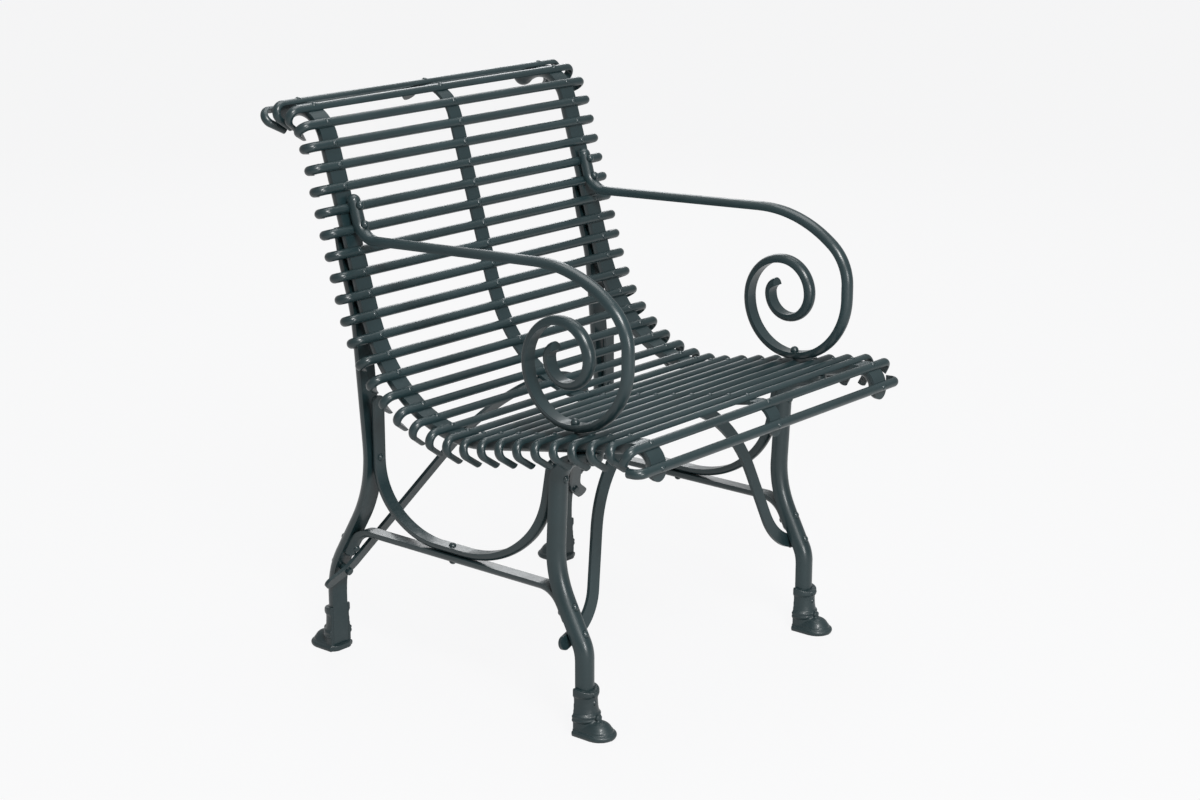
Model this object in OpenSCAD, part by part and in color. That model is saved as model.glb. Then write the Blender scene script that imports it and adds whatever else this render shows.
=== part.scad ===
// Wrought iron armchair: a seat and back of half-round slats, riveted across three
// bent straps, on four bent legs with cast feet, side frames and scrolled arms.
// X runs across the chair, the sitter faces -Y and Z is up from the floor.
// Each bent bar is a chain of stretches: [length, 0] where straight, [radius, turn] where bent.

/* [Slats] */
// Overall length of a slat, over the bends of both hooks
slat_length = 620; // [540:5:700]
// Width of the half-round slat bar
slat_width = 14; // [11:0.5:16]
// Thickness of the slat bar at its crown
slat_thickness = 7; // [5:0.5:8]
// Number of slats from the front roll to the middle of the seat
seat_slats = 11; // [9:1:11]
// Number of slats from the middle of the seat to the top roll
back_slats = 21; // [18:1:21]
// Distance between the seat slats, along the strap
seat_pitch = 33.4; // [31:0.1:35]
// Distance between the back slats, along the strap
back_pitch = 31.3; // [29:0.1:31.5]
// Bend radius of the hook at a slat end, on the flat side of the bar
hook_radius = 10; // [7:0.5:12]
// Angle through which the hook is bent
hook_turn = 145; // [120:5:150]
// Straight tail after the hook
hook_tail = 26; // [15:1:28]

/* [Seat and back curve] */
// Height of the strap face where the front roll starts
roll_height = 411; // [390:1:440]
// Steepness of the strap where the front roll starts
roll_start = 87; // [80:1:90]
// Radius of the front roll
front_roll_radius = 32; // [28:1:40]
// Fall of the seat towards the back
seat_fall = 10; // [6:0.5:12]
// Straight run of the seat
seat_run = 273; // [250:1:300]
// Radius of the bend between seat and back
seat_bend_radius = 194; // [180:1:210]
// Turn of the bend between seat and back
seat_bend = 75; // [72:1:78]
// Radius of the hollow of the lower back
lumbar_radius = 380; // [340:5:420]
// Lean of the back from upright
back_lean = 16.7; // [14:0.1:18]
// Straight run of the back
back_run = 240; // [220:1:260]
// Radius of the top roll
top_roll_radius = 60; // [56:1:70]
// Length of strap past the last slat of the top roll
top_end = 8; // [6:1:20]
// Length of strap below the first slat of the front roll, before its rounded end
front_end = 4; // [3:1:8]

/* [Straps and legs] */
// Distance from the slat ends to the middle of the side straps and legs
frame_inset = 49; // [44:1:56]
// Width of the heavy half-round bar of side straps and legs
frame_width = 30; // [26:1:32]
// Thickness of the heavy bar
frame_thickness = 18; // [16:1:20]
// Width of the flat centre strap
centre_width = 25; // [20:1:30]
// Thickness of the flat centre strap
centre_thickness = 5; // [4:0.5:6]

/* [Rear legs] */
// Distance from the top of the straight back down to the rear leg's bend
rear_join_drop = 227; // [210:1:235]
// Length of the long scarf that feathers the rear leg out against the strap
rear_scarf = 100; // [80:5:120]
// Radius of the bend where the rear leg leaves the strap
rear_join_radius = 256; // [200:4:300]
// Turn of that bend
rear_join_turn = 11.7; // [10:0.1:13]
// Straight stretch of the rear leg above its knee
rear_thigh = 170; // [150:2:180]
// Radius of the rear knee
rear_knee_radius = 207; // [180:3:230]
// Turn of the rear knee
rear_knee_turn = 35.8; // [33:0.1:38]
// Straight stretch of the rear leg between knee and ankle
rear_shin = 70; // [60:1:76]
// Radius of the rear ankle
rear_ankle_radius = 130; // [110:5:150]

/* [Front legs] */
// Distance of the front leg's end from the start of the strap, along the strap
front_setback = 136; // [120:1:150]
// Length of the front leg that lies under the strap
front_shoulder_run = 26; // [22:1:34]
// Radius of the front shoulder bend
front_shoulder_radius = 48; // [40:1:54]
// Turn of the front shoulder bend
front_shoulder_turn = 77; // [75:0.5:79]
// Straight stretch of the front leg above its knee
front_thigh = 94; // [80:1:100]
// Radius of the front knee
front_knee_radius = 160; // [140:5:180]
// Turn of the front knee
front_knee_turn = 30.7; // [28:0.1:34]
// Straight stretch of the front leg between knee and ankle
front_shin = 60; // [54:1:66]
// Radius of the front ankle
front_ankle_radius = 44; // [40:1:60]

/* [Side frames] */
// Width of the light half-round bar of arms, swags and arches
light_width = 20; // [16:1:22]
// Thickness of the light bar
light_thickness = 12; // [8:0.5:13]
// Height of the top of the arch bar
arch_height = 206; // [200:1:212]
// Radius at both corners of the arch bar
arch_radius = 46; // [36:1:56]
// Length of the arch bar's straight ends along the legs
arch_end = 21; // [16:1:30]
// Height of the swag's rear end above its front end
swag_rear_rise = 30; // [0:2:40]
// Lean of the front end of the swag from upright
swag_lean = 10; // [8:0.5:12]
// Height of the swag's front end on the leg
swag_height = 376; // [356:1:384]
// Radius of the swag's upper front bend
swag_front_bend = 120; // [100:5:140]
// Radius of the swag's lower front bend
swag_front_sweep = 170; // [150:5:190]
// Turn of the swag's lower front bend
swag_front_turn = 45; // [40:1:50]
// Radius of the swag's lower rear bend
swag_rear_sweep = 130; // [110:5:150]
// Turn of the swag's lower rear bend
swag_rear_turn = 40; // [35:1:45]
// Radius of the swag's upper rear bend
swag_rear_bend = 90; // [75:5:105]

/* [Arms] */
// Distance from the slat ends to the middle of the arms
arm_inset = 56; // [52:1:62]
// Which slat, counted from the top, is the upper one that carries the arm's flange
flange_slat = 8; // [7:1:9]
// Height of the flange's rounded top above that slat, along the back
flange_rise = 18; // [17:1:24]
// Straight length of the flange
flange_length = 30; // [28:1:36]
// Radius of the bend between flange and arm
flange_radius = 40; // [34:1:46]
// Rise of the arm towards the front
arm_rise = 2.6; // [2:0.1:4]
// Straight run of the arm
arm_run = 306; // [290:1:320]
// Radius where the arm starts to drop at the front
arm_drop_radius = 189; // [170:1:210]
// Turn of that first drop
arm_drop_turn = 41.4; // [38:0.1:46]
// Radius of the front of the arm
arm_front_radius = 69; // [60:1:76]
// Radius of the scroll's outer quarter turn
scroll_radius_1 = 95; // [90:1:100]
// Radius of the scroll's second quarter turn
scroll_radius_2 = 75; // [70:1:80]
// Radius of the scroll's third quarter turn
scroll_radius_3 = 60; // [56:1:64]
// Radius of the scroll's fourth quarter turn
scroll_radius_4 = 43; // [40:1:46]
// Radius of the scroll's fifth quarter turn
scroll_radius_5 = 35; // [32:1:38]
// Radius of the scroll's last quarter turn
scroll_radius_6 = 29; // [26:1:31]
// Radius of the blunt hook at the heart of the scroll
scroll_tip_radius = 12; // [11:0.5:14]
// Turn of the blunt hook
scroll_tip_turn = 75; // [50:5:90]

/* [Braces] */
// Width of the flat brace bar
brace_width = 20; // [16:1:22]
// Thickness of the brace bar
brace_thickness = 5; // [4:0.5:6]
// How far the front brace's rounded ends reach past the outer edges of the legs
front_brace_overhang = 12; // [8:1:14]
// How far the rear brace's rounded ends reach past the outer edges of the legs
rear_brace_overhang = 22; // [18:1:24]
// Height of the front brace's ends
front_brace_height = 132; // [126:1:136]
// Height of the rear brace's ends
rear_brace_height = 116; // [110:1:122]
// Place of the front brace's crown, from the start of the strap along the strap
front_brace_place = 222; // [210:1:240]
// Place of the rear brace's crown, from the start of the strap along the strap
rear_brace_place = 454; // [440:1:470]
// Length of the front brace's straight tips
front_tip = 25; // [24:1:26]
// Radius of the bends between the front brace's tips and its arch
front_tip_radius = 75; // [74:1:76]
// Slope of the front brace's tips
front_tip_slope = 17; // [16:1:18]
// Slope of the front brace's straight sides
front_side_slope = 73; // [72:1:74]
// Length of the rear brace's straight tips
rear_tip = 20; // [19:1:21]
// Radius of the bends between the rear brace's tips and its arch
rear_tip_radius = 60; // [59:1:61]
// Slope of the rear brace's tips
rear_tip_slope = 35; // [34:1:36]
// Slope of the rear brace's straight sides
rear_side_slope = 64; // [63:1:65]

/* [Feet] */
// Width of the cast sole
sole_width = 48; // [44:1:56]
// Length of the cast sole
sole_length = 56; // [50:1:64]
// Wall of the casting round the leg
foot_wall = 3; // [2:0.5:4]
// Height of the collar at the front of the foot
collar_height = 70; // [64:1:72]

/* [Rivets] */
// Diameter of the slat rivets
rivet_diameter = 5; // [4:0.5:6]
// Diameter of the slat rivets' heads
rivet_head = 8; // [7:0.5:9]
// Diameter of the arm bolts' round heads
bolt_head = 12; // [10:0.5:14]
// Diameter of the frame rivets' heads
frame_head = 11; // [9:0.5:13]
// Clearance of every rivet in its hole, on the radius
rivet_clearance = 0.15; // [0.1:0.05:0.3]

/* [Hidden] */
$fn = 64;
// Play between bars that lie against one another
fit_gap = 0.2;
// Every second stretch of a bar is drawn a hair fuller, and its neighbours reach into it;
// the long bars of frame and arms take a little more
swell = 0.04;
heavy_swell = 0.08;
lap = 0.4;
// Bars: width, thickness, shape of the section, place of its flat side, swell
slat_bar = [slat_width, slat_thickness, "half-round", 0, swell];
frame_bar = [frame_width, frame_thickness, "half-round", 0, heavy_swell];
light_bar = [light_width, light_thickness, "half-round", 0, heavy_swell];
centre_bar = [centre_width, centre_thickness, "flat", 0, swell];
brace_bar = [brace_thickness, brace_width, "flat", -brace_width / 2, swell];
slat_count = seat_slats + back_slats;
last_slat = (seat_slats - 1) * seat_pitch + back_slats * back_pitch;
frame_x = slat_length / 2 - frame_inset;
arm_x = slat_length / 2 - arm_inset;
// Heads on a rounded crown are let in by this much; a crest is where such a head sits
head_sink = 0.7;
crest = frame_thickness - head_sink;
light_crest = light_thickness - head_sink;
rivet_head_height = rivet_head * 0.3;
bolt_head_height = bolt_head * 0.65;
frame_head_height = frame_head * 0.4;
left = 1;
right = -1;

// Length of one stretch, and of a chain's first n stretches
function stretch(g) = g[1] == 0 ? g[0] : g[0] * abs(g[1]) * PI / 180;
function chain_length(chain, n) =
    n == 0 ? 0 : stretch(chain[n - 1]) + chain_length(chain, n - 1);
function rest_of(chain, n) = [for (i = [n : len(chain) - 1]) chain[i]];
// A pose [y, z, direction] moved on by s along one stretch
function advance(pose, g, s) =
    g[1] == 0
    ? [pose[0] + s * cos(pose[2]), pose[1] + s * sin(pose[2]), pose[2]]
    : let (side = sign(g[1]), a = pose[2], b = a + side * s / g[0] * 180 / PI)
      [pose[0] + side * g[0] * (sin(b) - sin(a)), pose[1] - side * g[0] * (cos(b) - cos(a)), b];
// The pose at distance s along a chain, straight on past its end
function along(pose, chain, s, i = 0) =
    i == len(chain) ? advance(pose, [1, 0], s)
    : s <= stretch(chain[i]) ? advance(pose, chain[i], s)
    : along(advance(pose, chain[i], stretch(chain[i])), chain, s - stretch(chain[i]), i + 1);
function chain_end(pose, chain) = along(pose, chain, chain_length(chain, len(chain)));
function corner(pose, chain, n) = along(pose, chain, chain_length(chain, n));
// A pose shifted by d to its left-hand side, one turned by an angle, one moved straight on
function aside(pose, d) = [pose[0] - d * sin(pose[2]), pose[1] + d * cos(pose[2]), pose[2]];
function turned(pose, angle) = [pose[0], pose[1], pose[2] + angle];
function onward(pose, d) = advance(pose, [1, 0], d);
// The point of a pose's straight line at height z
function at_height(pose, z) = [pose[0] + (z - pose[1]) / tan(pose[2]), z, pose[2]];
// The pose at height z of a chain that only falls, found by halving
function falling_to(pose, chain, z, low, high) =
    let (middle = (low + high) / 2)
    high - low < 0.01 ? along(pose, chain, middle)
    : along(pose, chain, middle)[1] > z ? falling_to(pose, chain, z, middle, high)
    : falling_to(pose, chain, z, low, middle);

// The strap's face, which the slats lie on
seat_chain = [
    [front_roll_radius, -(roll_start + seat_fall)],
    [seat_run, 0],
    [seat_bend_radius, seat_bend],
    [lumbar_radius, 90 - back_lean + seat_fall - seat_bend],
    [back_run, 0],
];
roll_end = chain_length(seat_chain, 1);
back_end = chain_length(seat_chain, len(seat_chain));
strap_chain = concat(seat_chain,
    [[top_roll_radius, -(last_slat + top_end - back_end) / top_roll_radius * 180 / PI]]);
// Place of a slat's middle along the strap; slat 1 is at the start of the front roll
function slat_place(i) =
    min(i - 1, seat_slats - 1) * seat_pitch + max(i - seat_slats, 0) * back_pitch;

// How far the rounded end of a side strap reaches past the strap's last pose, towards the back
function tip_reach(angle) =
    angle > 0
    ? frame_width / 2 + heavy_swell + (frame_thickness - frame_width / 2) * sin(angle)
    : (frame_width / 2 + heavy_swell) * cos(angle) - heavy_swell * sin(angle);

// A slat is straight across its width, so in the seat's bend it lies on its two edges
slat_rest = fit_gap + slat_width * slat_width / (8 * seat_bend_radius);

// The strap starts where the chair reaches as far to the front as to the back
front_reach = slat_rest + slat_thickness - head_sink + rivet_head_height;
raw_start = [0, roll_height, roll_start];
raw_end = chain_end(raw_start, strap_chain);
raw_heads = [for (i = [seat_slats : slat_count])
    aside(along(raw_start, strap_chain, slat_place(i)), front_reach)[0]];
raw_slats = [for (i = [seat_slats : slat_count])
    onward(aside(along(raw_start, strap_chain, slat_place(i)), slat_rest), slat_width / 2)[0]];
raw_back = max(concat(raw_heads, raw_slats, [raw_end[0] + tip_reach(raw_end[2])]));
strap_start = [(front_reach * sin(roll_start) - raw_back) / 2, roll_height, roll_start];
function on_strap(s) = along(strap_start, strap_chain, s);

function slat_pose(i) = aside(on_strap(slat_place(i)), slat_rest);

// Slats on a roll have shorter hooks, so that they clear one another
hook_clearance = 1.5;
function roll_depth(radius, pitch) =
    radius - slat_width / 2 / tan(pitch / radius * 90 / PI) - hook_clearance;
function slat_hook(i) =
    slat_place(i) <= roll_end
    ? [[hook_radius, -90], [max(1, roll_depth(front_roll_radius, seat_pitch) - hook_radius), 0]]
    : slat_place(i) > back_end - back_pitch
    ? [[hook_radius, -hook_turn],
       [max(1, min(hook_tail, (roll_depth(top_roll_radius, back_pitch)
           - hook_radius * (1 - cos(hook_turn))) / sin(hook_turn))), 0]]
    : [[hook_radius, -hook_turn], [hook_tail, 0]];

// Feet: the legs stand on the floor of their castings
foot_floor = 5;

// Rear leg, from its feathered top on the back of the strap down into its foot
rear_top = turned(aside(on_strap(back_end - rear_join_drop + rear_scarf),
    -frame_thickness - fit_gap), 180);
rear_upper = [
    [rear_scarf, 0],
    [rear_join_radius, rear_join_turn],
    [rear_thigh, 0],
    [rear_knee_radius, rear_knee_turn],
    [rear_shin, 0],
    [rear_ankle_radius, back_lean - rear_join_turn - rear_knee_turn],
];
rear_ankle = chain_end(rear_top, rear_upper);
rear_chain = concat(rear_upper, [[rear_ankle[1] - foot_floor, 0]]);
rear_shin_line = corner(rear_top, rear_upper, 4);
function rear_flat(z) = falling_to(rear_top, rear_chain, z, 0, chain_length(rear_chain, len(rear_chain)));
// The foremost point of the rear leg's flat
rear_fore = advance(corner(rear_top, rear_upper, 3), rear_upper[3],
    rear_knee_radius * (back_lean - rear_join_turn) * PI / 180);

// Front leg, from its end under the strap down into its foot
front_top = aside(on_strap(front_setback), -frame_thickness - fit_gap);
front_upper = [
    [front_shoulder_run, 0],
    [front_shoulder_radius, -front_shoulder_turn],
    [front_thigh, 0],
    [front_knee_radius, -front_knee_turn],
    [front_shin, 0],
    [front_ankle_radius, front_shoulder_turn + front_knee_turn + seat_fall - 90],
];
front_ankle = chain_end(front_top, front_upper);
front_chain = concat(front_upper, [[front_ankle[1] - foot_floor, 0]]);
front_shin_line = corner(front_top, front_upper, 4);
function front_flat(z) =
    falling_to(front_top, front_chain, z, 0, chain_length(front_chain, len(front_chain)));

// Arch bar, flat against both shins; its corners are where the shins reach its height
arch_rear = at_height(aside(rear_shin_line, -fit_gap), arch_height);
arch_front = at_height(aside(front_shin_line, fit_gap), arch_height);
arch_rear_turn = 360 - rear_shin_line[2];
arch_front_turn = front_shin_line[2] + 180;
arch_rear_tangent = arch_radius * tan(arch_rear_turn / 2);
arch_front_tangent = arch_radius * tan(arch_front_turn / 2);
arch_start = onward(turned(arch_rear, -180), -arch_rear_tangent - arch_end);
arch_chain = [
    [arch_end, 0],
    [arch_radius, arch_rear_turn],
    [arch_rear[0] - arch_front[0] - arch_rear_tangent - arch_front_tangent, 0],
    [arch_radius, arch_front_turn],
    [arch_end, 0],
];

// Swag, from the front shoulder down to the arch bar and up to the rear leg
front_shoulder = advance(corner(front_top, front_upper, 1), front_upper[1],
    front_shoulder_radius * (90 - seat_fall - swag_lean) * PI / 180);
swag_front = at_height(aside(front_shoulder, light_thickness + fit_gap), swag_height);
swag_bottom = arch_height + light_thickness + fit_gap;
swag_drop = swag_height - swag_bottom;
swag_front_arcs = [[swag_front_bend, 90 - swag_lean - swag_front_turn], [swag_front_sweep, swag_front_turn]];
swag_rear_arcs = [[swag_rear_sweep, swag_rear_turn], [swag_rear_bend, 90 - swag_rear_turn]];
front_arcs_end = chain_end([0, 0, swag_lean - 90], swag_front_arcs);
rear_arcs_end = chain_end([0, 0, 0], swag_rear_arcs);
swag_front_straight = (swag_drop + front_arcs_end[1]) / cos(swag_lean);
swag_level = rear_fore[0] - light_thickness - fit_gap - swag_front[0]
    - swag_front_straight * sin(swag_lean) - front_arcs_end[0] - rear_arcs_end[0];
swag_chain = concat(
    [[swag_front_straight, 0]], swag_front_arcs,
    [[swag_level, 0]], swag_rear_arcs,
    [[swag_drop + swag_rear_rise - rear_arcs_end[1], 0]]);

// Arm, from its flange on the back to the heart of the scroll
flange_index = slat_count + 1 - flange_slat;
flange_up = flange_rise - light_width / 2;
arm_top = turned(aside(on_strap(slat_place(flange_index) + flange_up),
    slat_rest + slat_thickness + fit_gap), 180);
arm_start_chain = [
    [flange_length, 0],
    [flange_radius, -(90 - back_lean + arm_rise)],
    [arm_run, 0],
    [arm_drop_radius, arm_drop_turn],
    [arm_front_radius, 90 + arm_rise - arm_drop_turn],
];
// The straight drop at the front lets the scroll down onto the seat slats
seat_line = aside(on_strap(roll_end), slat_rest + slat_thickness + fit_gap);
raised_contact = aside(chain_end(arm_top, concat(arm_start_chain, [[scroll_radius_1, 90 - seat_fall]])),
    -light_thickness);
arm_front_drop = raised_contact[1] - seat_line[1]
    + (raised_contact[0] - seat_line[0]) * tan(seat_fall);
arm_chain = concat(arm_start_chain, [
    [arm_front_drop, 0],
    [scroll_radius_1, 90],
    [scroll_radius_2, 90],
    [scroll_radius_3, 90],
    [scroll_radius_4, 90],
    [scroll_radius_5, 90],
    [scroll_radius_6, 90],
    [scroll_tip_radius, scroll_tip_turn],
]);
// The seat slat nearest to the scroll's lowest point, and the arm's pose above it
contact_place = roll_end + (raised_contact[0] - seat_line[0]) / cos(seat_fall);
rest_index = 1 + round(contact_place / seat_pitch);
rest_angle = atan((slat_place(rest_index) - contact_place) / (scroll_radius_1 + light_thickness));
rest_pose = along(arm_top, arm_chain, chain_length(arm_chain, 6)
    + scroll_radius_1 * (90 - seat_fall + rest_angle) * PI / 180);
function carries_arm(i) = i == flange_index || i == flange_index - 1 || i == rest_index;
// Seats of the arm's bolts, with the head on the pose's left-hand side
arm_bolt_seats = concat(
    [for (k = [0, 1])
        aside(turned(along(arm_top, arm_chain, flange_up + k * back_pitch), 180), light_crest)],
    [aside(rest_pose, fit_gap)]);
arm_bolt_length = light_thickness + slat_thickness + frame_thickness / 2;

// Braces: each lies in a tilted plane from the flats of the legs up to the centre strap
function brace_seat(place) = aside(on_strap(place), -centre_thickness - brace_width / 2 - 2 * fit_gap);
// The tilt from upright at which a brace just clears a point
function tilt_of(seat, point) = atan2(abs(seat[0] - point[0]), seat[1] - point[1]);
// Heights over which a brace passes a leg, from just below its end
function zone(height, reach) = [for (k = [-1 : 0.2 : reach]) height + k * brace_width / 2];
front_brace_seat = brace_seat(front_brace_place);
rear_brace_seat = brace_seat(rear_brace_place);
front_brace_tilt = min([for (z = zone(front_brace_height, 2.4))
    tilt_of(front_brace_seat, aside(front_flat(z), brace_thickness / 2 + 2 * fit_gap))]);
rear_brace_tilt = min([for (z = zone(rear_brace_height, 5))
    tilt_of(rear_brace_seat, aside(rear_flat(z), -brace_thickness / 2 - 2 * fit_gap))]);
// A brace from tip to tip: length of the tips, their bend, its first and last direction
function brace_chain(tip_x, rise, tip, radius, start, finish) =
    let (
        across = tip_x - tip * cos(start) - radius * (sin(finish) - sin(start)),
        up = rise - tip * sin(start) - radius * (cos(start) - cos(finish)),
        crown = (across * sin(finish) - up * cos(finish)) / (1 - cos(finish)),
        straight = (across - crown * sin(finish)) / cos(finish)
    )
    [[tip, 0], [radius, finish - start], [straight, 0], [crown, -2 * finish],
     [straight, 0], [radius, finish - start], [tip, 0]];
front_tip_x = frame_x + frame_width / 2 + front_brace_overhang - brace_width / 2;
rear_tip_x = frame_x + frame_width / 2 + rear_brace_overhang - brace_width / 2;
front_brace_chain = brace_chain(front_tip_x,
    (front_brace_seat[1] - front_brace_height) / cos(front_brace_tilt),
    front_tip, front_tip_radius, front_tip_slope, front_side_slope);
rear_brace_chain = brace_chain(rear_tip_x,
    (rear_brace_seat[1] - rear_brace_height) / cos(rear_brace_tilt),
    rear_tip, rear_tip_radius, rear_tip_slope, rear_side_slope);
// Height of a brace's middle above its tips where it crosses the legs' middle, in its plane;
// on the way there it has turned by this share of its first bend
crossing_share = 0.1;
function crossing(chain, tip_x, start) =
    along([-tip_x, 0, start], chain, (tip_x - frame_x) / cos(start + chain[1][1] * crossing_share))[1];
front_crossing = front_flat(front_brace_height
    + crossing(front_brace_chain, front_tip_x, front_tip_slope) * cos(front_brace_tilt));
rear_crossing = rear_flat(rear_brace_height
    + crossing(rear_brace_chain, rear_tip_x, rear_tip_slope) * cos(rear_brace_tilt));

// Frame rivets: [seat of the head on the pose's left-hand side, distance to the other head]
function rivet_line(pose, up, down) = [aside(pose, up), up + down];
frame_rivet_lines = [
    // swag to front leg and to rear leg
    rivet_line(turned(front_shoulder, 180), crest, light_thickness + 2 * fit_gap),
    rivet_line(rear_fore, crest, light_thickness + 2 * fit_gap),
    // arch to front leg and to rear leg
    rivet_line(turned(aside(onward(chain_end(arch_start, arch_chain), -arch_end / 2), -fit_gap), 180),
        crest, light_crest + fit_gap),
    rivet_line(turned(aside(onward(arch_start, arch_end / 2), -fit_gap), 180),
        crest, light_crest + fit_gap),
    // swag to arch
    rivet_line([corner(swag_front, swag_chain, 3)[0] + swag_level / 2, arch_height, 0],
        light_thickness + 2 * fit_gap, light_crest),
];
// Brace rivets: pose on a leg's flat with the leg's crown on its left-hand side
brace_rivet_poses = [turned(front_crossing, 180), rear_crossing];
// Distance from a leg's flat to the middle of a brace, along the rivet
function plane_distance(pose, seat, lean) =
    ((seat[0] - pose[0]) * cos(lean) + (seat[1] - pose[1]) * sin(lean)) / sin(pose[2] - lean);
// Washer on the far side of each brace
brace_washer = 4;
brace_reach = [
    plane_distance(brace_rivet_poses[0], front_brace_seat, -front_brace_tilt) + brace_thickness / 2
        + brace_washer,
    plane_distance(brace_rivet_poses[1], rear_brace_seat, rear_brace_tilt) + brace_thickness / 2
        + brace_washer,
];

function slat_name(i) = str("slat_", i < 10 ? "0" : "", i);

// Half-round outline, from its flat side at x = 0 to its crown at x = depth
module half_round(width, depth) {
    flank = max(depth - width / 2, 0);
    rise = depth - flank;
    r = (width * width / 4 + rise * rise) / (2 * rise);
    if (flank > 0) translate([0, -width / 2]) square([flank, width]);
    intersection() {
        translate([depth - r, 0]) circle(r = r, $fn = 96);
        translate([flank, -width]) square([depth, 2 * width]);
    }
}
// Section of a bar whose crown is on the chain's left-hand (side = 1) or right-hand side (-1)
module section(form, side, grow = 0) {
    rotate(side < 0 ? 180 : 0) translate([form[3] - grow, 0])
        if (form[2] == "flat")
            translate([0, -form[0] / 2 - grow]) square([form[1] + 2 * grow, form[0] + 2 * grow]);
        else
            half_round(form[0] + 2 * grow, form[1] + 2 * grow);
}

// Bar along a chain in the XY plane, with rounded ends where wanted; full is 0 where the
// first stretch is plain and 1 where it is a full one
module bar(pose, chain, form, side, round_start = false, round_end = false, full = 0) {
    last = len(chain) - 1;
    for (i = [0 : last]) {
        here = corner(pose, chain, i);
        plain = (i + full) % 2 == 0;
        translate([here[0], here[1], 0]) rotate([0, 0, here[2]])
            stretch_solid(chain[i], form, side, plain ? 0 : form[4],
                plain && (i > 0 || round_start) ? lap : 0, plain && (i < last || round_end) ? lap : 0);
    }
    if (round_start) rounded_end(turned(pose, 180), form, -side);
    if (round_end) rounded_end(chain_end(pose, chain), form, side);
}
// One stretch, grown all round, and longer by the laps before and after it
module stretch_solid(g, form, side, grow, before, after) {
    r = g[0];
    turn = abs(g[1]) + (before + after) / r * 180 / PI;
    if (g[1] == 0)
        translate([-before, 0, 0]) rotate([90, 0, 90])
            linear_extrude(g[0] + before + after) section(form, side, grow);
    else if (g[1] > 0)
        translate([0, r, 0]) rotate([0, 0, -90 - before / r * 180 / PI])
            rotate_extrude(angle = turn) translate([r, 0]) rotate(180) section(form, side, grow);
    else
        translate([0, -r, 0]) rotate([0, 0, 90 + g[1] - after / r * 180 / PI])
            rotate_extrude(angle = turn) translate([r, 0]) section(form, side, grow);
}
// Half-disc end of a bar, beyond a pose that looks out of the bar, and a hair before it
module rounded_end(pose, form, side) {
    translate([pose[0], pose[1], 0]) rotate([0, 0, pose[2]])
        intersection() {
            translate([-1.5 * lap, -form[0], -form[0]]) cube(2 * form[0]);
            rotate([0, -90, -90])
                rotate_extrude()
                    intersection() {
                        rotate(90) section(form, side, form[4]);
                        translate([0, -form[0]]) square(2 * form[0]);
                    }
        }
}
// From the plane of a chain to the chair's side plane at x
module side_plane(x) translate([x, 0, 0]) rotate([90, 0, 90]) children();
// At a pose of a side plane, with Z towards the pose's left-hand side
module at_pose(x, pose) translate([x, pose[0], pose[1]]) rotate([pose[2], 0, 0]) children();
// To the tilted plane of a brace, with Y up the slope
module brace_plane(seat, height, lean) {
    translate([0, seat[0] + (seat[1] - height) * tan(lean), height]) rotate([90 + lean, 0, 0]) children();
}
module front_plane() brace_plane(front_brace_seat, front_brace_height, -front_brace_tilt) children();
module rear_plane() brace_plane(rear_brace_seat, rear_brace_height, rear_brace_tilt) children();

// Round head with its base at z = 0
module dome(diameter, height) {
    r = (diameter * diameter / 4 + height * height) / (2 * height);
    rotate_extrude()
        intersection() {
            translate([0, height - r]) circle(r = r);
            square([diameter, height]);
        }
}
// Shank from z = 0 down, longer and wider by a clearance for its hole
module shank(length, clearance = 0)
    translate([0, 0, -length - clearance])
        cylinder(r = rivet_diameter / 2 + clearance, h = length + clearance);
// Seat let into a rounded crown for a head
module head_seat(diameter) cylinder(d = diameter + 1, h = slat_thickness);

slat_head_seat = slat_thickness - head_sink;
// Shank lengths end just short of the straps' undersides
module slat_rivet(i, x, strap_thickness) {
    at_pose(x, slat_pose(i)) translate([0, 0, slat_head_seat]) {
        dome(rivet_head, rivet_head_height);
        shank(slat_head_seat + strap_thickness - fit_gap);
    }
}
module slat_rivet_hole(i, x, strap_thickness) {
    at_pose(x, slat_pose(i)) translate([0, 0, slat_head_seat]) {
        head_seat(rivet_head);
        shank(slat_head_seat + strap_thickness + 1, rivet_clearance);
    }
}
module arm_bolt_holes(x) {
    for (seat = arm_bolt_seats)
        at_pose(x, seat) {
            head_seat(bolt_head);
            shank(arm_bolt_length, rivet_clearance);
        }
}
module frame_holes(x) {
    for (line = frame_rivet_lines)
        at_pose(x, line[0]) {
            head_seat(frame_head);
            shank(line[1] + 1, rivet_clearance);
            translate([0, 0, -line[1]]) mirror([0, 0, 1]) head_seat(frame_head);
        }
    for (pose = brace_rivet_poses)
        at_pose(x, aside(pose, crest)) {
            head_seat(frame_head);
            shank(3 * frame_thickness, rivet_clearance);
        }
}

module slat(i) {
    half = slat_length / 2 - hook_radius - slat_thickness;
    color("#41494c")
        difference() {
            at_pose(0, slat_pose(i)) rotate([90, 0, 0]) {
                stretch_start = [-half - lap, 0, 0];
                bar(stretch_start, [[2 * (half + lap), 0]], slat_bar, 1);
                bar([half, 0, 0], slat_hook(i), slat_bar, 1, full = 1);
                mirror([1, 0, 0]) bar([half, 0, 0], slat_hook(i), slat_bar, 1, full = 1);
            }
            slat_rivet_hole(i, 0, centre_thickness);
            for (side = [left, right])
                if (carries_arm(i)) arm_bolt_holes(side * arm_x);
                else slat_rivet_hole(i, side * frame_x, frame_thickness);
        }
}

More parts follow.
